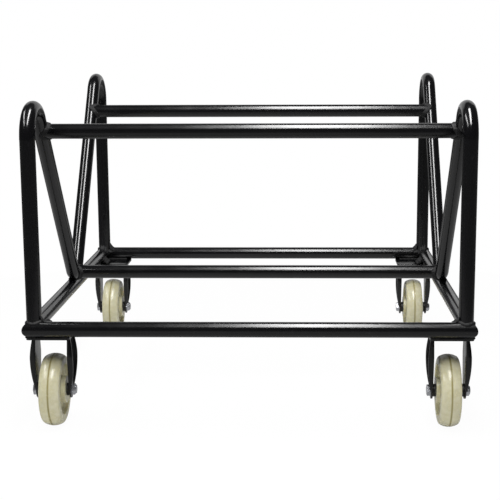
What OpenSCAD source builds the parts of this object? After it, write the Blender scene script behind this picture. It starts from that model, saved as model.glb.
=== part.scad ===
// Stacking chair trolley: a square ring of round tube on four fixed casters,
// with a bent tube loop on each side, two rails that bear the chairs and one rail across the base.
// The frame stands on the floor, z = 0, centred on the origin. The front faces -Y.

/* [Tube] */
// Outside diameter of every frame tube
tube_d = 21.3; // [20:0.1:22.5]
// Wall of the frame tube
tube_wall = 1.5; // [1:0.1:2.2]

/* [Base ring] */
// Side of the square ring, centreline to centreline
ring_size = 600; // [580:2:640]

/* [Side loops] */
// Top of the front hairpins above the ring's centreline
front_loop_h = 309.5; // [300:0.5:330]
// Top of the rear hairpins above the ring's centreline
rear_loop_h = 333.5; // [320:0.5:350]
// Centreline radius of the hairpin bends
hairpin_r = 39.5; // [36:0.5:44]
// Centreline radius of the valley bends
valley_r = 21; // [19:0.5:24]
// Distance of the uprights in from the ring's centrelines
leg_in = 4.2; // [3:0.1:6]

/* [Cross rails] */
// Drop from the top of the front hairpins to the front rail's centreline
front_rail_drop = 45; // [42:0.5:60]
// Drop from the top of the rear hairpins to the rear rail's centreline
rear_rail_drop = 63.5; // [44:0.5:70]
// Height of the middle rail's centreline above the ring's centreline
mid_rail_z = 22.5; // [21:0.5:25]

/* [Corner plate] */
// Width of the plate under each corner, across the trolley
plate_w = 60; // [58:1:70]
// Length of the plate, along the trolley
plate_l = 64; // [60:1:70]
// Thickness of the plate
plate_t = 4.5; // [3:0.1:6]
// Distance of the plate's middle from the end rail's centreline
plate_in_y = 29; // [27:0.5:33]
// Distance of the caster's middle from the side rail's centreline
caster_in_x = 23; // [20:0.5:26]
// Distance of the caster's axle from the end rail's centreline
caster_in_y = 34; // [30:0.5:38]

/* [Fork] */
// Clear width between the fork's legs
fork_gap = 44; // [42:0.5:46]
// Thickness of the pressed fork
fork_t = 2.5; // [2:0.1:3]
// Drop from the underside of the fork's web to the axle
fork_drop = 77.5; // [76:0.5:86]
// Depth of a leg where it leaves the web
leg_top_l = 30; // [28:1:36]
// Depth of a leg at its shoulder
leg_wide_l = 39; // [37:1:44]
// Drop from the web to the shoulder
leg_shoulder = 26; // [20:1:30]
// Radius of the leg's rounded foot
leg_foot_r = 12; // [11:0.5:13]
// Greatest height of the lip turned out along both edges of a leg
lip_h = 5.5; // [4:0.5:7]

/* [Wheel] */
// Diameter of the tread
wheel_d = 102; // [96:1:108]
// Width of the tread
wheel_w = 28.5; // [27:0.5:31]
// Radius of the tread's crown, seen in section
crown_r = 24; // [21:1:34]
// Radius of the tread's shoulders
shoulder_r = 5; // [4:0.5:6]
// Thickness of the rim
rim_t = 15; // [13:0.5:17]
// Thickness of the web between the rim and the hub
web_t = 14; // [10:0.5:16]
// Length of the hub
hub_l = 35; // [34:0.5:37]
// Diameter of the hub
hub_d = 38; // [34:1:42]

/* [Axle] */
// Diameter of the axle bolt
bolt_d = 9.5; // [9:0.5:10.5]
// Outside diameter of the steel sleeve that the wheel turns on
sleeve_d = 13.5; // [13:0.1:14]
// Width of the bolt's head and nut across their flats
hex_af = 14.3; // [13:0.1:16]
// Outside diameter of the thrust spacers
spacer_d = 18; // [17:0.5:20]

/* [Hidden] */
$fn = 96;
// How far a tube or plate is let into the tube that it is welded to
seat_sink = 0.2;
// A straight run of a loop goes this far into each bend, and is this much thinner, so that the loop is one solid
bend_lap = 0.5;
lap_step = 0.2;
// Radial clearance of the wheel on its sleeve
run_gap = 0.08;
// Clearance of the bolt in the sleeve and in the fork
bolt_gap = 0.15;
// Clearance between a spacer and the sleeve, and between the nut and the bolt
slip_gap = 0.03;
// Clearance between the hub and each spacer
side_gap = 0.3;
// Rounding of the plate's corners
plate_r = 4;
// Thickness of the fork's turned lip, and its highest place above the axle
lip_t = 2.5;
lip_peak = 43;
// Fillets of the wheel's web, and the parting groove round the tread
web_fillet = 3;
groove_w = 1.4;
groove_h = 0.5;
// Bolt head, lock nut, the nut's round collar and the end of the bolt beyond it
head_h = 5.5;
nut_h = 5;
collar_h = 1.2;
collar_step = 0.8;
bolt_proud = 0.4;
// How far a cut runs past the face that it opens, and a fillet into what it joins
cut = 1;

tube_r = tube_d / 2;
bore_d = tube_d - 2 * tube_wall;
ring_half = ring_size / 2;
leg_xy = ring_half - leg_in;

wheel_r = wheel_d / 2;
rim_r = wheel_r - rim_t;
axle_z = wheel_r;
web_z = axle_z + fork_drop;
plate_z = web_z + fork_t;
ring_z = plate_z + plate_t + tube_r - seat_sink;

// The valley of each loop rests on the side rail, which lies a little further out
valley_z = sqrt(tube_d * tube_d - leg_in * leg_in) - seat_sink;
valley_c = [0, valley_z + valley_r];

spacer_t = (fork_gap - hub_l) / 2 - side_gap;
fork_half = fork_gap / 2 + fork_t;
// The lips die away along an arc that ends level with the axle
lip_r = (lip_peak * lip_peak + lip_h * lip_h) / (2 * lip_h);

// Middle of a hairpin bend, as [along, up] from the ring's centre, for a loop of height h
function hairpin_c(h) = [leg_xy - hairpin_r, h - tube_r - hairpin_r];
// Angle of the diagonal from the vertical: the line touches the hairpin from above and the valley from below
function lean(h) =
    let (run = hairpin_c(h) - valley_c)
    atan2(run.x, run.y) - asin((hairpin_r + valley_r) / norm(run));
// Where the diagonal's centreline is at height z
function diagonal_y(h, z) =
    let (start = valley_c + valley_r * [cos(lean(h)), -sin(lean(h))])
    start.x + (z - start.y) * tan(lean(h));

CORNERS = ["front_left", "front_right", "rear_left", "rear_right"];
FRAME = [
    "base_front_rail", "base_rear_rail", "base_left_rail", "base_right_rail", "base_mid_rail",
    "left_side_loop", "right_side_loop", "front_top_rail", "rear_top_rail"
];
CORNER_PARTS = [
    "corner_plate", "fork", "wheel", "axle_sleeve", "axle_bolt", "lock_nut",
    "left_spacer", "right_spacer"
];

paint = "#17171a";
zinc = "#b9bcc0";
nylon = "#e9e4d2";
black_nylon = "#1c1c1e";

function side_of(c) = c == "front_left" || c == "rear_left" ? -1 : 1;
function end_of(c) = c == "front_left" || c == "front_right" ? -1 : 1;

// A round bar from p to q in the XY plane
module bar(p, q, d) {
    run = q - p;
    translate([p.x, p.y, 0]) rotate([0, 90, atan2(run.y, run.x)]) cylinder(d = d, h = norm(run));
}

// A round bar bent about c in the XY plane
module bent_bar(c, r, from, to, d) {
    translate([c.x, c.y, 0]) rotate([0, 0, from])
        rotate_extrude(angle = to - from) translate([r, 0]) circle(d = d);
}

// One end of a loop, from the foot of the upright over the hairpin and down the diagonal
module loop_end(h, d) {
    c = hairpin_c(h);
    a = lean(h);
    away = [-cos(a), sin(a)];
    lap = bend_lap * [sin(a), cos(a)];
    bar([leg_xy, 0], [leg_xy, c.y + bend_lap], d - lap_step);
    bent_bar(c, hairpin_r, 0, 180 - a, d);
    bar(c + hairpin_r * away + lap, valley_c - valley_r * away - lap, d - lap_step);
}

// The whole centreline of a loop as a bar of diameter d, in place on one side
module loop_bar(side, d) {
    translate([side * leg_xy, 0, ring_z]) rotate([90, 0, 90]) {
        mirror([1, 0, 0]) loop_end(front_loop_h, d);
        bent_bar(valley_c, valley_r, 180 + lean(front_loop_h), 360 - lean(rear_loop_h), d);
        loop_end(rear_loop_h, d);
    }
}

// A straight bar across the trolley
module bar_across(half, y, z, d) translate([0, 0, z]) bar([-half, y], [half, y], d);

// One side of the ring as a solid bar, its ends mitred at the corners: the rear one, turned about the middle
module ring_bar(turn) {
    far = ring_half + tube_d;
    near = ring_half - tube_d;
    rotate([0, 0, turn]) intersection() {
        bar_across(far, ring_half, ring_z, tube_d);
        translate([0, 0, ring_z - tube_d]) linear_extrude(2 * tube_d)
            polygon([[-far, far], [-near, near], [near, near], [far, far]]);
    }
}

// Frame

module ring_rail(turn) {
    color(paint) difference() {
        ring_bar(turn);
        rotate([0, 0, turn]) bar_across(ring_half + tube_d, ring_half, ring_z, bore_d);
    }
}

// A loop is made for the right and mirrored for the left, with its feet and its valley coped to the ring
module side_loop(side) {
    color(paint) mirror([side < 0 ? 1 : 0, 0, 0]) difference() {
        loop_bar(1, tube_d);
        loop_bar(1, bore_d);
        for (turn = [0, 180, 270]) ring_bar(turn);
    }
}

// A rail between the loops, its ends coped to fit round them
module cross_rail(y, z) {
    color(paint) difference() {
        bar_across(leg_xy, y, ring_z + z, tube_d);
        bar_across(leg_xy + cut, y, ring_z + z, bore_d);
        for (side = [-1, 1]) loop_bar(side, tube_d);
    }
}

module mid_rail() cross_rail(0, mid_rail_z);

module top_rail(end) {
    h = end < 0 ? front_loop_h : rear_loop_h;
    z = h - (end < 0 ? front_rail_drop : rear_rail_drop);
    cross_rail(end * diagonal_y(h, z), z);
}

// Caster

// Moves a piece made about its own middle, x across and y along, in from the ring at its corner
module at_inset(c, in_y) {
    translate([side_of(c) * (ring_half - caster_in_x), end_of(c) * (ring_half - in_y), 0]) children();
}

// Moves a piece made about the middle of the axle to its corner
module at_caster(c) at_inset(c, caster_in_y) translate([0, 0, axle_z]) children();

module corner_plate(c) {
    color(paint) difference() {
        at_inset(c, plate_in_y) translate([0, 0, plate_z]) linear_extrude(plate_t) plate_outline();
        ring_bar(end_of(c) > 0 ? 0 : 180);
        ring_bar(side_of(c) > 0 ? 270 : 90);
    }
}

module plate_outline() {
    square([plate_w - 2 * plate_r, plate_l], center = true);
    square([plate_w, plate_l - 2 * plate_r], center = true);
    for (x = [-1, 1], y = [-1, 1])
        translate([x * (plate_w / 2 - plate_r), y * (plate_l / 2 - plate_r)]) circle(plate_r);
}

// Outline of a leg seen from its side, x along the trolley and y up from the axle
module leg_outline(slim) {
    wide = [leg_wide_l / 2 - slim, fork_drop - leg_shoulder];
    foot_r = leg_foot_r - slim;
    touch = atan2(wide.x, wide.y) + acos(foot_r / norm(wide));
    foot = foot_r * [sin(touch), cos(touch)];
    top = [leg_top_l / 2 - slim, fork_drop];
    polygon([foot, wide, top, [-top.x, top.y], [-wide.x, wide.y], [-foot.x, foot.y]]);
    circle(foot_r);
}

// A leg is pressed flat to its outline, with a lip turned out along both edges that dies away near the axle
module fork_leg() {
    rotate([90, 0, 90]) {
        linear_extrude(fork_t) leg_outline(0);
        intersection() {
            difference() {
                linear_extrude(fork_t + lip_h) leg_outline(0);
                translate([0, 0, -cut]) linear_extrude(fork_t + lip_h + 2 * cut) leg_outline(lip_t);
            }
            translate([-leg_wide_l, lip_peak, fork_t + lip_h - lip_r]) rotate([0, 90, 0])
                cylinder(r = lip_r, h = 2 * leg_wide_l);
        }
    }
}

module fork(c) {
    color(paint) at_caster(c) difference() {
        union() {
            translate([-fork_half, -leg_top_l / 2, fork_drop]) cube([2 * fork_half, leg_top_l, fork_t]);
            for (side = [0, 1]) mirror([side, 0, 0]) translate([fork_gap / 2, 0, 0]) fork_leg();
        }
        across(fork_half + lip_h + cut, bolt_d + 2 * bolt_gap);
    }
}

// A round bar of half length half along the axle
module across(half, d) translate([-half, 0, 0]) rotate([0, 90, 0]) cylinder(d = d, h = 2 * half);

module wheel(c) {
    color(nylon) at_caster(c) rotate([0, 90, 0]) difference() {
        rotate_extrude() wheel_profile();
        cylinder(d = sleeve_d + 2 * run_gap, h = hub_l + 2 * cut, center = true);
    }
}

// Half section of the wheel, x out from the axle and y along it. The shoulders touch the crown from inside
module wheel_profile() {
    shoulder_y = wheel_w / 2 - shoulder_r;
    shoulder_a = asin(shoulder_y / (crown_r - shoulder_r));
    crown_c = wheel_r - crown_r;
    shoulder_c = crown_c + (crown_r - shoulder_r) * cos(shoulder_a);
    crown_y = crown_r * sin(shoulder_a);
    difference() {
        union() {
            translate([rim_r, -wheel_w / 2]) square([shoulder_c - rim_r, wheel_w]);
            intersection() {
                translate([rim_r, -crown_y]) square([rim_t, 2 * crown_y]);
                translate([crown_c, 0]) circle(crown_r);
            }
            for (y = [-1, 1]) translate([shoulder_c, y * shoulder_y]) circle(shoulder_r);
        }
        translate([wheel_r - groove_h, -groove_w / 2]) square([groove_h + cut, groove_w]);
    }
    translate([0, -web_t / 2]) square([rim_r + cut, web_t]);
    translate([0, -hub_l / 2]) square([hub_d / 2, hub_l]);
    for (y = [0, 1]) mirror([0, y]) {
        web_corner(hub_d / 2, 1);
        web_corner(rim_r, -1);
    }
}

// Fillet between the web and the hub or the rim
module web_corner(r, out) {
    translate([r, web_t / 2]) difference() {
        translate([out < 0 ? -web_fillet : -cut, -cut]) square(web_fillet + cut);
        translate([out * web_fillet, web_fillet]) circle(web_fillet);
    }
}

module axle_sleeve(c) {
    color(zinc) at_caster(c) difference() {
        across(fork_gap / 2, sleeve_d);
        across(fork_gap, bolt_d + 2 * bolt_gap);
    }
}

module axle_bolt(c) {
    reach = fork_half + nut_h + collar_h + bolt_proud;
    color(zinc) at_caster(c) rotate([0, 90, 0]) {
        translate([0, 0, -fork_half]) cylinder(d = bolt_d, h = fork_half + reach);
        translate([0, 0, -fork_half - head_h]) hexagon(head_h);
    }
}

module lock_nut(c) {
    color(zinc) at_caster(c) translate([fork_half, 0, 0]) rotate([0, 90, 0]) difference() {
        union() {
            hexagon(nut_h);
            cylinder(d = hex_af - 2 * collar_step, h = nut_h + collar_h);
        }
        translate([0, 0, -cut]) cylinder(d = bolt_d + 2 * slip_gap, h = nut_h + collar_h + 2 * cut);
    }
}

module hexagon(h) cylinder(d = hex_af / cos(30), h = h, $fn = 6);

module spacer(c, side) {
    color(black_nylon) at_caster(c) rotate([0, 90, 0])
        translate([0, 0, side > 0 ? fork_gap / 2 - spacer_t : -fork_gap / 2]) difference() {
            cylinder(d = spacer_d, h = spacer_t);
            translate([0, 0, -cut]) cylinder(d = sleeve_d + 2 * slip_gap, h = spacer_t + 2 * cut);
        }
}

ring_rail(180);  // base_front_rail
ring_rail(0);  // base_rear_rail
ring_rail(90);  // base_left_rail
ring_rail(270);  // base_right_rail
mid_rail();  // base_mid_rail
side_loop(-1);  // left_side_loop
side_loop(1);  // right_side_loop
top_rail(-1);  // front_top_rail
top_rail(1);  // rear_top_rail
for (c = CORNERS) {
    corner_plate(c);
    fork(c);
    wheel(c);
    axle_sleeve(c);
    axle_bolt(c);
    lock_nut(c);
    spacer(c, -1);
    spacer(c, 1);
}
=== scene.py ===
import math
import random

import bmesh
import bpy
from mathutils import Matrix, Vector


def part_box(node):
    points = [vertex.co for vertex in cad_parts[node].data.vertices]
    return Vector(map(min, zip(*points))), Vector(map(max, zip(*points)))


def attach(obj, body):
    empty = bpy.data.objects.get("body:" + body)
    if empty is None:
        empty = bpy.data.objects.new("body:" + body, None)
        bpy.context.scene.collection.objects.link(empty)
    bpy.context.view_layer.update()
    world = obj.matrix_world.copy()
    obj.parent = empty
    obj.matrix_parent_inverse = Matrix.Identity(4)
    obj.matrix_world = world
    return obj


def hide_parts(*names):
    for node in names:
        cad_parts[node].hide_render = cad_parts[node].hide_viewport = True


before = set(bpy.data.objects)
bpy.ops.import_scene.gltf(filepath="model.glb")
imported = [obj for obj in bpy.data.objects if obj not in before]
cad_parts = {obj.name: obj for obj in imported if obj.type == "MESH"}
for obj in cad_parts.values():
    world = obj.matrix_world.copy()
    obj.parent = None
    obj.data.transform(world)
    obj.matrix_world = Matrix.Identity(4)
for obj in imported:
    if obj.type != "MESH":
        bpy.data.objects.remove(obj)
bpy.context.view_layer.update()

mm = 0.001
corners = {"front_left": (-1, -1), "front_right": (1, -1), "rear_left": (-1, 1), "rear_right": (1, 1)}
hands = {"left": -1, "right": 1}
scene = bpy.context.scene
scene.view_settings.view_transform = "Standard"
print("frame loaded:", len(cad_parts), "nodes")

# The camera, fitted to the edges of the tubes in the photo
photoCamera = {
    "place": (0.06981, -1.86368, 0.53055),
    "pitch": 0.1734,  # radians below level
    "yaw": 0.022,  # radians to the left
    "roll": -0.0032,
    "sensorMm": 36,
    "lensMm": 84.666,
    "shiftX": -0.04976,
}
cameraData = bpy.data.cameras.new("photoCamera")
cameraData.sensor_width = photoCamera["sensorMm"]
cameraData.lens = photoCamera["lensMm"]
cameraData.shift_x = photoCamera["shiftX"]
camera = bpy.data.objects.new("photoCamera", cameraData)
scene.collection.objects.link(camera)
heading = Matrix.Rotation(photoCamera["yaw"], 4, "Z")
heading = heading @ Matrix.Rotation(math.pi / 2 - photoCamera["pitch"], 4, "X")
heading = heading @ Matrix.Rotation(photoCamera["roll"], 4, "Z")
camera.matrix_world = Matrix.Translation(photoCamera["place"]) @ heading
scene.camera = camera
print("camera set")


def linear(hexCode):
    channels = [int(hexCode[i:i + 2], 16) / 255 for i in (1, 3, 5)]
    return [c / 12.92 if c <= 0.04045 else ((c + 0.055) / 1.055) ** 2.4 for c in channels] + [1]


def addNode(tree, kind, values=None, links=None, **settings):
    made = tree.nodes.new(kind)
    for name, value in settings.items():
        setattr(made, name, value)
    for socket, value in (values or {}).items():
        made.inputs[socket].default_value = value
    for socket, source in (links or {}).items():
        tree.links.new(source, made.inputs[socket])
    return made


def newMaterial(name):
    made = bpy.data.materials.new(name)
    made.use_nodes = True
    made.node_tree.nodes.clear()
    return made, made.node_tree


def perMetre(sizeMm):
    return 1 / (sizeMm * mm)


# Gloss powder coat on steel tube: near black, mirror-like streaks that waver a little over the orange peel
coat = {
    "black": "#08080a",
    "worn": "#141416",
    "wornFrom": (0.58, 0.74),  # levels of the scuff noise between which the wear sets in
    "ior": 1.6,
    "roughness": (0.16, 0.22),
    "overWeld": (0.6, 0.8),  # roughness on weld beads
    "cloudFrom": (0.3, 0.7),  # levels of the cloud noise that span the roughness
    "cloudMm": 45,
    "scuffMm": 7,
    "wavesMm": 26,
    "waveBump": (0.12, 0.6),  # strength and depth in mm
    "peelMm": 2.2,  # the real peel is about 1 mm, too fine for this picture
    "peelBump": (0.1, 0.04),
}
powderCoat, tree = newMaterial("glossPowderCoatedSteel")
place = {"Vector": addNode(tree, "ShaderNodeTexCoord").outputs["Object"]}
peel = addNode(tree, "ShaderNodeTexNoise", {"Scale": perMetre(coat["peelMm"]), "Detail": 2}, place)
waves = addNode(tree, "ShaderNodeTexNoise", {"Scale": perMetre(coat["wavesMm"]), "Detail": 1}, place)
cloud = addNode(tree, "ShaderNodeTexNoise", {"Scale": perMetre(coat["cloudMm"]), "Detail": 3}, place)
scuff = addNode(tree, "ShaderNodeTexNoise",
                {"Scale": perMetre(coat["scuffMm"]), "Detail": 6, "Roughness": 0.7}, place)
rubbed = addNode(tree, "ShaderNodeMapRange",
                 {"From Min": coat["wornFrom"][0], "From Max": coat["wornFrom"][1]},
                 {"Value": scuff.outputs["Fac"]})
tone = addNode(tree, "ShaderNodeMix", {"A": linear(coat["black"]), "B": linear(coat["worn"])},
               {"Factor": rubbed.outputs["Result"]}, data_type="RGBA")
dull = addNode(tree, "ShaderNodeMapRange",
               {"From Min": coat["cloudFrom"][0], "From Max": coat["cloudFrom"][1],
                "To Min": coat["roughness"][0], "To Max": coat["roughness"][1]},
               {"Value": cloud.outputs["Fac"]})
waveBump = addNode(tree, "ShaderNodeBump",
                   {"Strength": coat["waveBump"][0], "Distance": coat["waveBump"][1] * mm},
                   {"Height": waves.outputs["Fac"]})
peelBump = addNode(tree, "ShaderNodeBump",
                   {"Strength": coat["peelBump"][0], "Distance": coat["peelBump"][1] * mm},
                   {"Height": peel.outputs["Fac"], "Normal": waveBump.outputs["Normal"]})
shader = addNode(tree, "ShaderNodeBsdfPrincipled", {"IOR": coat["ior"]},
                 {"Base Color": tone.outputs["Result"], "Roughness": dull.outputs["Result"],
                  "Normal": peelBump.outputs["Normal"]})
addNode(tree, "ShaderNodeOutputMaterial", None, {"Surface": shader.outputs["BSDF"]})

# The same coat over weld beads, where it lies duller and uneven
weldCoat = powderCoat.copy()
weldCoat.name = "powderCoatOverWeld"
weldDull = weldCoat.node_tree.nodes[dull.name]
weldDull.inputs["To Min"].default_value = coat["overWeld"][0]
weldDull.inputs["To Max"].default_value = coat["overWeld"][1]

# Natural nylon, moulded: milky ivory that lets a little light in, with painted shade darkening the recess
# along the parting line
nylon = {
    "ivory": "#cbc7ab",
    "aged": "#bfba98",
    "agedFrom": (0.35, 0.7),  # levels of the mottle noise between which it ages
    "groove": "#9d9466",
    "grooveMm": (0.66, 1.76),  # the painted shade fades out between these distances from the parting line
    "ior": 1.53,
    "roughness": (0.2, 0.32),
    "milky": 0.3,  # share of the light that scatters under the surface
    "milkyRadius": (1, 0.85, 0.5),
    "milkyMm": 5,
    "mottleMm": 9,
    "grainMm": 1.6,
    "grainBump": (0.15, 0.06),  # strength and depth in mm
}
low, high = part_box("front_right_wheel")
partingX = (low[0] + high[0]) / 2
naturalNylon, tree = newMaterial("naturalMouldedNylon")
place = {"Vector": addNode(tree, "ShaderNodeTexCoord").outputs["Object"]}
mottle = addNode(tree, "ShaderNodeTexNoise", {"Scale": perMetre(nylon["mottleMm"]), "Detail": 4}, place)
patch = addNode(tree, "ShaderNodeMapRange",
                {"From Min": nylon["agedFrom"][0], "From Max": nylon["agedFrom"][1]},
                {"Value": mottle.outputs["Fac"]})
body = addNode(tree, "ShaderNodeMix", {"A": linear(nylon["ivory"]), "B": linear(nylon["aged"])},
               {"Factor": patch.outputs["Result"]}, data_type="RGBA")
axes = addNode(tree, "ShaderNodeSeparateXYZ", None, place)
sideways = addNode(tree, "ShaderNodeMath", None, {0: axes.outputs["X"]}, operation="ABSOLUTE")
offLine = addNode(tree, "ShaderNodeMath", {1: partingX}, {0: sideways.outputs["Value"]}, operation="SUBTRACT")
fromLine = addNode(tree, "ShaderNodeMath", None, {0: offLine.outputs["Value"]}, operation="ABSOLUTE")
# Painted shade: the colour darkens near the parting line, in the recess there
inGroove = addNode(tree, "ShaderNodeMapRange",
                   {"From Min": nylon["grooveMm"][0] * mm, "From Max": nylon["grooveMm"][1] * mm,
                    "To Min": 1, "To Max": 0},
                   {"Value": fromLine.outputs["Value"]})
grooveShaded = addNode(tree, "ShaderNodeMix", {"B": linear(nylon["groove"])},
                {"Factor": inGroove.outputs["Result"], "A": body.outputs["Result"]}, data_type="RGBA")
grain = addNode(tree, "ShaderNodeTexNoise", {"Scale": perMetre(nylon["grainMm"]), "Detail": 3}, place)
dull = addNode(tree, "ShaderNodeMapRange",
               {"To Min": nylon["roughness"][0], "To Max": nylon["roughness"][1]},
               {"Value": mottle.outputs["Fac"]})
bump = addNode(tree, "ShaderNodeBump",
               {"Strength": nylon["grainBump"][0], "Distance": nylon["grainBump"][1] * mm},
               {"Height": grain.outputs["Fac"]})
shader = addNode(tree, "ShaderNodeBsdfPrincipled",
                 {"IOR": nylon["ior"], "Subsurface Weight": nylon["milky"],
                  "Subsurface Radius": nylon["milkyRadius"], "Subsurface Scale": nylon["milkyMm"] * mm},
                 {"Base Color": grooveShaded.outputs["Result"], "Roughness": dull.outputs["Result"],
                  "Normal": bump.outputs["Normal"]})
addNode(tree, "ShaderNodeOutputMaterial", None, {"Surface": shader.outputs["BSDF"]})

# Zinc plate, blue passivated: a soft bright metal with a cold, slightly cloudy sheen
zinc = {
    "bright": "#e4e4e6",
    "cloudy": "#bfc2ca",
    "metallic": 0.92,  # the chromate film scatters a little light as paint does
    "roughness": (0.16, 0.3),
    "cloudMm": 4,
    "grainMm": 0.9,
    "grainBump": (0.2, 0.03),  # strength and depth in mm
}
zincPlate, tree = newMaterial("zincPlatedSteel")
place = {"Vector": addNode(tree, "ShaderNodeTexCoord").outputs["Object"]}
cloud = addNode(tree, "ShaderNodeTexNoise", {"Scale": perMetre(zinc["cloudMm"]), "Detail": 4}, place)
grain = addNode(tree, "ShaderNodeTexNoise", {"Scale": perMetre(zinc["grainMm"]), "Detail": 2}, place)
tone = addNode(tree, "ShaderNodeMix", {"A": linear(zinc["bright"]), "B": linear(zinc["cloudy"])},
               {"Factor": cloud.outputs["Fac"]}, data_type="RGBA")
dull = addNode(tree, "ShaderNodeMapRange",
               {"To Min": zinc["roughness"][0], "To Max": zinc["roughness"][1]},
               {"Value": cloud.outputs["Fac"]})
bump = addNode(tree, "ShaderNodeBump",
               {"Strength": zinc["grainBump"][0], "Distance": zinc["grainBump"][1] * mm},
               {"Height": grain.outputs["Fac"]})
shader = addNode(tree, "ShaderNodeBsdfPrincipled", {"Metallic": zinc["metallic"]},
                 {"Base Color": tone.outputs["Result"], "Roughness": dull.outputs["Result"],
                  "Normal": bump.outputs["Normal"]})
addNode(tree, "ShaderNodeOutputMaterial", None, {"Surface": shader.outputs["BSDF"]})

# Black nylon, turned into washers: matt, with fine dust
washer = {"black": "#0e0e0f", "dusty": "#232324", "ior": 1.53, "roughness": (0.4, 0.6), "dustMm": 3}
blackNylon, tree = newMaterial("blackNylon")
place = {"Vector": addNode(tree, "ShaderNodeTexCoord").outputs["Object"]}
dust = addNode(tree, "ShaderNodeTexNoise", {"Scale": perMetre(washer["dustMm"]), "Detail": 4}, place)
tone = addNode(tree, "ShaderNodeMix", {"A": linear(washer["black"]), "B": linear(washer["dusty"])},
               {"Factor": dust.outputs["Fac"]}, data_type="RGBA")
dull = addNode(tree, "ShaderNodeMapRange",
               {"To Min": washer["roughness"][0], "To Max": washer["roughness"][1]},
               {"Value": dust.outputs["Fac"]})
shader = addNode(tree, "ShaderNodeBsdfPrincipled", {"IOR": washer["ior"]},
                 {"Base Color": tone.outputs["Result"], "Roughness": dull.outputs["Result"]})
addNode(tree, "ShaderNodeOutputMaterial", None, {"Surface": shader.outputs["BSDF"]})

# The last word of a node's name tells its finish, and every other node is powder coated
finishOf = {
    "wheel": naturalNylon,
    "spacer": blackNylon,
    "bolt": zincPlate,
    "nut": zincPlate,
    "sleeve": zincPlate,
}
for name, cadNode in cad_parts.items():
    cadNode.data.materials.clear()
    cadNode.data.materials.append(finishOf.get(name.split("_")[-1], powderCoat))
print("materials on", len(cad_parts), "nodes")


def addObject(name, bm, material):
    mesh = bpy.data.meshes.new(name)
    bm.to_mesh(mesh)
    bm.free()
    made = bpy.data.objects.new(name, mesh)
    scene.collection.objects.link(made)
    made.data.materials.append(material)
    return made


def addPiece(name, bm, material, replaced=None):
    made = addObject(name, bm, material)
    if replaced:
        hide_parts(replaced)
    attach(made, "frame")
    return made


# Weld beads: overlapping puddles along each joint, melted together by a fine remesh
weld = {
    "halfMm": 2.7,  # half the bead's width
    "proudMm": 2.1,
    "stepMm": 2.3,  # from one puddle to the next
    "jitter": 0.16,  # share by which the puddles vary in size
    "seed": 11,
    "grainMm": 0.7,  # of the remesh
    "settle": 0.5,  # strength of the smoothing after it
    "settleRounds": 3,
}
puddles = random.Random(weld["seed"])
fullTurn = [math.radians(degrees) for degrees in range(0, 361, 3)]  # fine steps round a tube
low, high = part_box("base_rear_rail")
tubeR = (high[2] - low[2]) / 2
ringHalf = (high[1] + low[1]) / 2  # from the trolley's middle to the ring's centrelines
ringZ = (high[2] + low[2]) / 2
low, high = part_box("right_side_loop")
legX = (high[0] + low[0]) / 2
legY = high[1] - tubeR


def evenly(points, step):
    spaced = [points[0]]
    for point in points[1:]:
        while (point - spaced[-1]).length >= step:
            spaced.append(spaced[-1] + (point - spaced[-1]).normalized() * step)
    return spaced


def layBead(bm, root, out, size=1):
    grow = size * (1 + puddles.uniform(-weld["jitter"], weld["jitter"]))
    wide = weld["halfMm"] * mm * grow
    shape = Matrix.Diagonal((wide, wide, weld["proudMm"] * mm * grow, 1))
    facing = out.to_track_quat("Z", "Y").to_matrix().to_4x4()
    bmesh.ops.create_icosphere(bm, subdivisions=1, radius=1, matrix=Matrix.Translation(root) @ facing @ shape)


def meltBead(name, bm):
    made = addPiece(name, bm, weldCoat)
    melt = made.modifiers.new("melt", "REMESH")
    melt.mode = "VOXEL"
    melt.voxel_size = weld["grainMm"] * mm
    melt.use_smooth_shade = True
    settle = made.modifiers.new("settle", "SMOOTH")
    settle.factor = weld["settle"]
    settle.iterations = weld["settleRounds"]


def ringSurface(x, y):
    onEnd = abs(x) <= abs(y)  # the rails meet on the diagonal
    off = (abs(y) if onEnd else abs(x)) - ringHalf
    up = math.sqrt(max(tubeR ** 2 - off ** 2, 0))
    across = math.copysign(off, (y if onEnd else x) * off)
    normal = Vector((0, across, up)) if onEnd else Vector((across, 0, up))
    return ringZ + up, normal.normalized()


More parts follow.
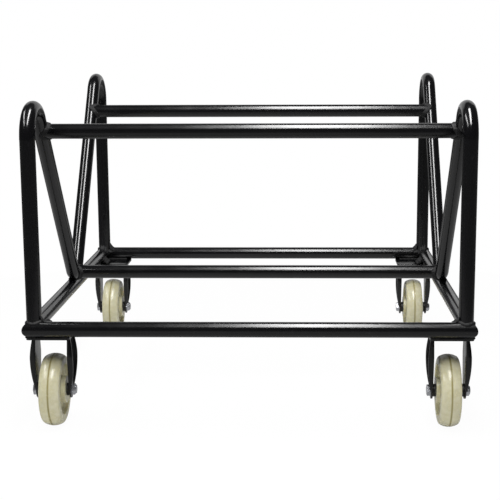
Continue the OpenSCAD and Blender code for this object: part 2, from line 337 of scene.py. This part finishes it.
# Round the foot of each leg, with a hollow fillet along both rails and a lump in the ring's inner corner
footWeld = {
    "outer": 1.3,  # puddle size on the outside of the corner, 1 on the inside
    "filletMm": 8,
    "filletRowsMm": (-4, 0, 4),
    "filletSunkMm": 1,
    "filletSize": (0.45, 0.6),  # at its two ends, and what its middle has more
    "lumpSteps": 5,  # puddles along each rail
    "lumpStepMm": 2,
    "lumpUpMm": (5, 0.5),  # above the centreline, and how much each puddle lies lower
    "lumpSize": (1.5, 0.17),  # the first puddle, and how much each one is smaller
    "lumpFacing": 1.5,  # how far its puddles face up
}
for corner, (side, end) in corners.items():
    bm = bmesh.new()
    alongRails = (Vector((-side, 0, 0)), Vector((0, -end, 0)))
    around = []
    for turn in fullTurn:
        root = Vector((side * legX, end * legY, 0)) + Vector((math.cos(turn), math.sin(turn), 0)) * tubeR
        root.z = ringSurface(root.x, root.y)[0]
        around.append(root)
    for root in evenly(around, weld["stepMm"] * mm):
        out = Vector((root.x - side * legX, root.y - end * legY, 0)).normalized()
        outside = out.x * side > 0 or out.y * end > 0
        facing = (out + ringSurface(root.x, root.y)[1]).normalized()
        layBead(bm, root, facing, footWeld["outer"] if outside else 1)
    for along in alongRails:
        aside = Vector((-along.y, along.x, 0))
        for degrees in range(0, 91, 15):
            turn = math.radians(degrees)
            away = footWeld["filletMm"] * mm * (1 - math.sin(turn))
            rise = footWeld["filletMm"] * mm * (1 - math.cos(turn))
            size = footWeld["filletSize"][0] + footWeld["filletSize"][1] * math.sin(2 * turn)
            for row in footWeld["filletRowsMm"]:
                root = Vector((side * legX, end * legY, rise)) + along * (tubeR + away) + aside * (row * mm)
                root.z += ringSurface(root.x, root.y)[0] - footWeld["filletSunkMm"] * mm
                layBead(bm, root, (along + Vector((0, 0, 1))).normalized(), size)
    inner = Vector((side * (ringHalf - tubeR), end * (ringHalf - tubeR), ringZ))
    for step in range(footWeld["lumpSteps"]):
        up = Vector((0, 0, footWeld["lumpUpMm"][0] * mm - step * footWeld["lumpUpMm"][1] * mm))
        size = footWeld["lumpSize"][0] - step * footWeld["lumpSize"][1]
        for along in alongRails:
            root = inner + along * step * footWeld["lumpStepMm"] * mm + up
            layBead(bm, root, Vector((-side, -end, footWeld["lumpFacing"])).normalized(), size)
    meltBead(corner + "_foot_weld", bm)

# Ends of the cross rails, coped to a diagonal that leans from the vertical or to the bend of a valley
valley = {
    "bendMm": 21,  # radius of its centreline
    "bendUpMm": 41.7,  # middle of the bend above the ring's centreline
    "beadMm": 4.8,  # from where loop and ring touch to the bead on either side
    "beadSteps": 5,  # puddles each way from its middle
}
railWeld = {
    "lean": {"front_top_rail": 39.3, "rear_top_rail": 36.8, "base_mid_rail": None},  # degrees
    "size": 1.35,
    "inwards": 0.8,  # how far its puddles face along the rail
    "secondSize": 0.95,  # a second run beside the first, on the rail
    "secondMm": 3.4,
}
for rail, lean in railWeld["lean"].items():
    low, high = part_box(rail)
    midY = (low[1] + high[1]) / 2
    midZ = (low[2] + high[2]) / 2
    outward = math.copysign(1, midY)
    for hand, side in hands.items():
        bm = bmesh.new()
        around = []
        for turn in fullTurn:
            y = tubeR * math.cos(turn)
            z = tubeR * math.sin(turn)
            if lean is None:
                off = math.hypot(midY + y, midZ + z - ringZ - valley["bendUpMm"] * mm) - valley["bendMm"] * mm
            else:
                off = y * outward * math.cos(math.radians(lean)) - z * math.sin(math.radians(lean))
            if abs(off) < tubeR:
                around.append(Vector((side * (legX - math.sqrt(tubeR ** 2 - off ** 2)), midY + y, midZ + z)))
        for root in evenly(around, weld["stepMm"] * mm):
            out = Vector((0, root.y - midY, root.z - midZ)).normalized()
            facing = (out + Vector((-side * railWeld["inwards"], 0, 0))).normalized()
            beside = Vector((-side * railWeld["secondMm"] * mm, 0, 0))
            layBead(bm, root, facing, railWeld["size"])
            layBead(bm, root + beside, out, railWeld["secondSize"])
        meltBead(rail + "_" + hand + "_weld", bm)

# Both sides of each loop's valley, on the side rail
for hand, side in hands.items():
    bm = bmesh.new()
    toLoop = Vector((side * (legX - ringHalf), 0, (valley["bendUpMm"] - valley["bendMm"]) * mm)).normalized()
    touch = Vector((side * ringHalf, 0, ringZ)) + toLoop * tubeR
    flank = Vector((toLoop.z, 0, -toLoop.x))
    for way in (-1, 1):
        for step in range(-valley["beadSteps"], valley["beadSteps"] + 1):
            y = step * weld["stepMm"] * mm
            rise = y ** 2 / (4 * (valley["bendMm"] * mm + tubeR))
            layBead(bm, touch + flank * way * valley["beadMm"] * mm + Vector((0, y, rise)), flank * way)
    meltBead(hand + "_valley_weld", bm)

# Edges of the corner plates under the ring, and of the fork's web under each plate
plateWeld = {
    "size": 0.85,
    "filletSteps": 9,
    "filletRows": ((11, 9, 1.3), (14, 6, 1.5), (17.5, 3, 1.3)),  # mm in from the rail's middle, mm up, size
    "webHalfMm": 15,  # from the middle of the fork's web to its weld
    "webSunkMm": 0.6,
    "webSteps": 8,  # puddles each way from its middle
    "webSize": 0.8,
    "webDown": 0.6,  # how far its puddles face down
}
for corner, (side, end) in corners.items():
    low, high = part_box(corner + "_corner_plate")
    webLow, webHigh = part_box(corner + "_fork")
    top = high[2]
    outX = max(abs(low[0]), abs(high[0]))
    inX = min(abs(low[0]), abs(high[0]))
    outY = max(abs(low[1]), abs(high[1]))
    inY = min(abs(low[1]), abs(high[1]))
    webX = (webLow[0] + webHigh[0]) / 2
    webY = (webLow[1] + webHigh[1]) / 2
    bm = bmesh.new()
    runs = [  # start, length in mm, way and facing, as they are on the rear right corner
        ((outX - 1 * mm, outY, top), 13, (-1, 0, 0), (0, 1, 0.3)),  # two outside the end rail
        ((inX + 10 * mm, outY, top), 9, (-1, 0, 0), (0, 1, 0.3)),
        ((outX, outY - 8 * mm, top + 1.5 * mm), 20, (0, -1, 0), (1, 0, 0.5)),  # two outside the side rail
        ((outX, inY + 24 * mm, top + 1.5 * mm), 20, (0, -1, 0), (1, 0, 0.5)),
        ((ringHalf - 12 * mm, ringHalf - 7 * mm, top + 0.6 * mm), 34, (-1, 0, 0), (0, -1, 1)),  # inside both
        ((ringHalf - 7 * mm, ringHalf - 12 * mm, top + 0.6 * mm), 44, (0, -1, 0), (-1, 0, 1)),
    ]
    for start, length, along, out in runs:
        facing = Vector((out[0] * side, out[1] * end, out[2])).normalized()
        for step in range(int(length / weld["stepMm"]) + 1):
            root = Vector(start) + Vector(along) * step * weld["stepMm"] * mm
            layBead(bm, Vector((root.x * side, root.y * end, root.z)), facing, plateWeld["size"])
    for step in range(plateWeld["filletSteps"]):  # the last of the weld inside the side rail, a fat fillet
        y = end * (inY + step * weld["stepMm"] * mm)
        for off, up, size in plateWeld["filletRows"]:
            root = Vector((side * (ringHalf - off * mm), y, top + up * mm))
            layBead(bm, root, Vector((-side, 0, 1)).normalized(), size)
    for way in (-1, 1):
        y = webY + way * plateWeld["webHalfMm"] * mm
        for step in range(-plateWeld["webSteps"], plateWeld["webSteps"] + 1):
            root = Vector((webX + step * weld["stepMm"] * mm, y, low[2] - plateWeld["webSunkMm"] * mm))
            layBead(bm, root, Vector((0, way, -plateWeld["webDown"])).normalized(), plateWeld["webSize"])
    meltBead(corner + "_plate_weld", bm)
print("welds laid")

# Forks and plates again with their sheared and pressed edges eased, so that they catch the light
mergeDist = 0.002 * mm  # points closer than this are one
pressing = {
    "edges": {"fork": {"radiusMm": 0.9, "segments": 3}, "corner_plate": {"radiusMm": 0.7, "segments": 2}},
    "flatWithin": 1,  # degrees between triangles of one face
    "sharpFrom": 40,  # degrees between faces whose edge is eased
}
for name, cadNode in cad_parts.items():
    for kind, edge in pressing["edges"].items():
        if not name.endswith(kind):
            continue
        bm = bmesh.new()
        bm.from_mesh(cadNode.data)
        bmesh.ops.remove_doubles(bm, verts=bm.verts, dist=mergeDist)
        bmesh.ops.dissolve_limit(bm, verts=bm.verts, edges=bm.edges,
                                 angle_limit=math.radians(pressing["flatWithin"]))
        for face in bm.faces:
            face.smooth = True
        piece = addPiece(name + "_pressing", bm, powderCoat, name)
        ease = piece.modifiers.new("ease", "BEVEL")
        ease.width = edge["radiusMm"] * mm
        ease.segments = edge["segments"]
        ease.limit_method = "ANGLE"
        ease.angle_limit = math.radians(pressing["sharpFrom"])
        ease.harden_normals = True
print("edges eased")

# Axle bolts and lock nuts: forged hexagons with chamfered rims, some turns of thread and a locking ring
fastener = {
    "flatsMm": 14.3,
    "chamferMm": 0.9,
    "roundSteps": 40,
    "boltR": 4.75,
    "headMm": 5.5,
    "shankSunkMm": 1,  # the shank starts inside the head
    "pointMm": (0.4, 0.2),  # chamfer at the bolt's end, along and across
    "pitchMm": 1.25,
    "threadMm": 0.55,
    "threadTurns": 4,
    "crest": 0.06,  # half the crest's width in pitches
    "nutMm": 5,
    "collarR": 6.3,
    "collarSunkMm": 0.5,  # the collar starts inside the hexagon
    "collarRollMm": ((0.5, 0), (0.95, 0.2)),  # above the hexagon, and in from the collar's side
    "collarLipMm": 0.65,  # in from the collar's side at its top
    "seatMm": (0.5, 0.1),  # the locking ring's seat, depth and taper
    "ringR": 5.5,  # locking ring, from the bolt to this radius
    "ringFootMm": 0.45,  # its flat side below the collar's top
    "ringBiteMm": (0.3, 0.2),  # how far it reaches into the thread, at its foot and at its top
    "ringTopMm": (0.1, 0.05),  # its top below the collar's, at the bolt and outside
    "ringShoulderMm": (0.3, 0.25),  # its outer rounding, across and along
    "ringRoomMm": 0.05,
}


def spinProfile(bm, profile, axisY, axisZ):
    line = [bm.verts.new((x, axisY + r, axisZ)) for x, r in profile]
    strip = [bm.edges.new(pair) for pair in zip(line, line[1:])]
    bmesh.ops.spin(bm, geom=line + strip, cent=(0, axisY, axisZ), axis=(1, 0, 0), angle=2 * math.pi,
                   steps=fastener["roundSteps"], use_merge=True)


def forgeHexagon(bm, start, thick, axisY, axisZ):
    facingX = Matrix.Translation((start, axisY, axisZ)) @ Matrix.Rotation(math.pi / 2, 4, "Y")
    blank = bmesh.ops.create_circle(bm, cap_ends=True, segments=6, matrix=facingX,
                                    radius=fastener["flatsMm"] * mm / math.sqrt(3))
    raised = bmesh.ops.extrude_face_region(bm, geom=blank["verts"][0].link_faces[:])["geom"]
    top = [v for v in raised if isinstance(v, bmesh.types.BMVert)]
    bmesh.ops.translate(bm, verts=top, vec=(thick, 0, 0))
    rim = [e for e in bm.edges if e.verts[0] in top and e.verts[1] in top]
    bmesh.ops.bevel(bm, geom=rim, offset=fastener["chamferMm"] * mm, offset_type="OFFSET", affect="EDGES",
                    segments=2, profile=0.5, material=-1)


def addTurned(name, bm, material, replaced=None):
    bmesh.ops.remove_doubles(bm, verts=bm.verts, dist=mergeDist)
    bmesh.ops.recalc_face_normals(bm, faces=bm.faces)
    addPiece(name, bm, material, replaced)


boltR = fastener["boltR"] * mm
collarR = fastener["collarR"] * mm
ringR = fastener["ringR"] * mm
pitch = fastener["pitchMm"] * mm
threadRoot = boltR - fastener["threadMm"] * mm
for corner in corners:
    low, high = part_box(corner + "_axle_bolt")
    axisY = (low[1] + high[1]) / 2
    axisZ = (low[2] + high[2]) / 2
    underHead = low[0] + fastener["headMm"] * mm
    sunk = underHead - fastener["shankSunkMm"] * mm
    point = high[0] - fastener["pointMm"][0] * mm
    profile = [(high[0], 0), (high[0], threadRoot - fastener["pointMm"][1] * mm), (point, threadRoot)]
    for thread in range(fastener["threadTurns"]):
        crest = point - (thread + 0.5) * pitch
        half = pitch * fastener["crest"]
        profile += [(crest + half, boltR), (crest - half, boltR), (crest - pitch * 0.5, threadRoot)]
    profile += [(profile[-1][0] - pitch * 0.5, boltR), (sunk, boltR), (sunk, 0)]
    bm = bmesh.new()
    forgeHexagon(bm, underHead, -fastener["headMm"] * mm, axisY, axisZ)
    spinProfile(bm, profile, axisY, axisZ)
    addTurned(corner + "_hexagon_bolt", bm, zincPlate, corner + "_axle_bolt")

    low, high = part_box(corner + "_lock_nut")
    rim = low[0] + fastener["nutMm"] * mm
    top = high[0]
    sunk = rim - fastener["collarSunkMm"] * mm
    seat = top - fastener["seatMm"][0] * mm
    profile = [(sunk, boltR), (sunk, collarR)]
    profile += [(rim + up * mm, collarR - into * mm) for up, into in fastener["collarRollMm"]]
    profile += [(top, collarR - fastener["collarLipMm"] * mm), (top, ringR)]
    profile += [(seat, ringR - fastener["seatMm"][1] * mm), (seat, boltR), (sunk, boltR)]
    bm = bmesh.new()
    forgeHexagon(bm, low[0], fastener["nutMm"] * mm, axisY, axisZ)
    spinProfile(bm, profile, axisY, axisZ)
    addTurned(corner + "_hexagon_nut", bm, zincPlate, corner + "_lock_nut")

    ringFoot = top - fastener["ringFootMm"] * mm
    ringIn = boltR - fastener["ringBiteMm"][0] * mm
    ringOut = ringR - fastener["ringRoomMm"] * mm
    profile = [
        (ringFoot, ringIn),
        (top - fastener["ringTopMm"][0] * mm, boltR - fastener["ringBiteMm"][1] * mm),
        (top - fastener["ringTopMm"][1] * mm, ringR - fastener["ringShoulderMm"][0] * mm),
        (top - fastener["ringShoulderMm"][1] * mm, ringOut),
        (ringFoot, ringOut),
        (ringFoot, ringIn),
    ]
    bm = bmesh.new()
    spinProfile(bm, profile, axisY, axisZ)
    addTurned(corner + "_locking_ring", bm, blackNylon)
print("bolts and nuts forged")

# Floor and surroundings: white paper under a white sky, and walls that only show in the gloss
studio = {
    "floorR": 1.0,
    "floorSides": 96,
    "paper": "#f0f0f0",
    "floorWhite": 0.97,  # share of plain white that the camera sees, the rest keeps the shadow
    "paintedFloorGloss": (0.3, 0.43),  # painted brightness that the gloss sees on the paper in place of its lit white, in front and under the trolley
    "glossFrom": (-0.4, -0.1),  # where it changes from the one to the other
    "wallR": 3.2,
    "wallSides": 48,
    "wallFoot": -1.6,
    "backdrop": (0.35, 3.1),  # the pale backdrop shows in the gloss between these heights
    "backdropFrom": 0.8,  # and behind this share of the walls' radius
    "ceiling": 3.9,
    "tones": {"greyStudioWall": 0.1, "darkStudioWall": 0.05, "paleBackdrop": 0.66},
    "ambient": 0.28,
}
white = linear("#ffffff")
paper, tree = newMaterial("whitePaper")
lit = addNode(tree, "ShaderNodeBsdfDiffuse", {"Color": linear(studio["paper"])})
seen = addNode(tree, "ShaderNodeLightPath")
mirrored = addNode(tree, "ShaderNodeMath", None,
                   {0: seen.outputs["Is Glossy Ray"], 1: seen.outputs["Is Transmission Ray"]},
                   operation="MAXIMUM")
place = {"Vector": addNode(tree, "ShaderNodeTexCoord").outputs["Object"]}
axes = addNode(tree, "ShaderNodeSeparateXYZ", None, place)
# Painted light: in reflections the paper glows at a set level, brighter under the trolley than in front
paintedGlossLevel = addNode(tree, "ShaderNodeMapRange",
                 {"From Min": studio["glossFrom"][0], "From Max": studio["glossFrom"][1],
                  "To Min": studio["paintedFloorGloss"][0] - 1, "To Max": studio["paintedFloorGloss"][1] - 1},
                 {"Value": axes.outputs["Y"]})
level = addNode(tree, "ShaderNodeMath", {2: 1}, {0: mirrored.outputs["Value"], 1: paintedGlossLevel.outputs["Result"]},
                operation="MULTIPLY_ADD")
glow = addNode(tree, "ShaderNodeEmission", None, {"Strength": level.outputs["Value"]})
inView = addNode(tree, "ShaderNodeMath", {1: studio["floorWhite"]}, {0: seen.outputs["Is Camera Ray"]},
                 operation="MULTIPLY")
share = addNode(tree, "ShaderNodeMath", None, {0: inView.outputs["Value"], 1: mirrored.outputs["Value"]},
                operation="MAXIMUM")
mixed = addNode(tree, "ShaderNodeMixShader", None,
                {0: share.outputs["Value"], 1: lit.outputs["BSDF"], 2: glow.outputs["Emission"]})
addNode(tree, "ShaderNodeOutputMaterial", None, {"Surface": mixed.outputs["Shader"]})
bm = bmesh.new()
bmesh.ops.create_circle(bm, cap_ends=True, segments=studio["floorSides"], radius=studio["floorR"])
floor = addObject("paperFloor", bm, paper)

wallPaint = []
for name, tone in studio["tones"].items():
    painted, tree = newMaterial(name)
    glow = addNode(tree, "ShaderNodeEmission", {"Color": white, "Strength": tone})
    addNode(tree, "ShaderNodeOutputMaterial", None, {"Surface": glow.outputs["Emission"]})
    wallPaint.append(painted)
bm = bmesh.new()
height = studio["wallFoot"]
bmesh.ops.create_circle(bm, segments=studio["wallSides"], radius=studio["wallR"],
                        matrix=Matrix.Translation((0, 0, height)))
edges = bm.edges[:]
for nextHeight in (*studio["backdrop"], studio["ceiling"]):
    raised = bmesh.ops.extrude_edge_only(bm, edges=edges)["geom"]
    upper = [v for v in raised if isinstance(v, bmesh.types.BMVert)]
    bmesh.ops.translate(bm, verts=upper, vec=(0, 0, nextHeight - height))
    edges = [e for e in raised if isinstance(e, bmesh.types.BMEdge) and e.is_boundary]
    height = nextHeight
bmesh.ops.edgeloop_fill(bm, edges=edges)
backdropFoot, backdropTop = studio["backdrop"]
paintNames = list(studio["tones"])
for face in bm.faces:
    middle = face.calc_center_median()
    behind = middle.y > studio["wallR"] * studio["backdropFrom"]
    if behind and backdropFoot < middle.z < backdropTop:
        face.material_index = paintNames.index("paleBackdrop")
    elif middle.z > backdropFoot:
        face.material_index = paintNames.index("darkStudioWall")
walls = addObject("studioWalls", bm, wallPaint[0])
for painted in wallPaint[1:]:
    walls.data.materials.append(painted)
walls.visible_camera = False
walls.visible_diffuse = False
walls.visible_transmission = False
walls.visible_shadow = False

world = bpy.data.worlds.new("studio")
scene.world = world
world.use_nodes = True
tree = world.node_tree
tree.nodes.clear()
seen = addNode(tree, "ShaderNodeLightPath")
cameraOrGloss = addNode(tree, "ShaderNodeMath", None,
                        {0: seen.outputs["Is Camera Ray"], 1: seen.outputs["Is Glossy Ray"]},
                        operation="MAXIMUM")
anySeen = addNode(tree, "ShaderNodeMath", None,
                  {0: cameraOrGloss.outputs["Value"], 1: seen.outputs["Is Transmission Ray"]},
                  operation="MAXIMUM")
fill = addNode(tree, "ShaderNodeBackground", {"Color": white, "Strength": studio["ambient"]})
sky = addNode(tree, "ShaderNodeBackground", {"Color": white, "Strength": 1})
mixed = addNode(tree, "ShaderNodeMixShader", None,
                {0: anySeen.outputs["Value"], 1: fill.outputs["Background"], 2: sky.outputs["Background"]})
addNode(tree, "ShaderNodeOutputWorld", None, {"Surface": mixed.outputs["Shader"]})

# Two long lamps that lie along Y: one overhead, one high on the left
lamps = {
    "overhead": {"place": (0.12, -0.95, 2.1), "aim": (0.12, -0.95, 0),
                 "wide": 0.36, "long": 2.1, "watts": 50},
    "left": {"place": (-1.6, -0.75, 2.0), "aim": (0, -0.75, 0.2),
             "wide": 0.22, "long": 2.2, "watts": 23},
}
lengthwise = Vector((0, 1, 0))
for name, lamp in lamps.items():
    lampData = bpy.data.lights.new(name + "Lamp", "AREA")
    lampData.shape = "RECTANGLE"
    lampData.size = lamp["wide"]
    lampData.size_y = lamp["long"]
    lampData.energy = lamp["watts"]
    made = bpy.data.objects.new(name + "Lamp", lampData)
    scene.collection.objects.link(made)
    away = Vector(lamp["place"]) - Vector(lamp["aim"])
    across = lengthwise.cross(away).normalized()
    axes = Matrix((across, lengthwise, away.normalized())).transposed().to_4x4()
    made.matrix_world = Matrix.Translation(lamp["place"]) @ axes
print("studio lit")
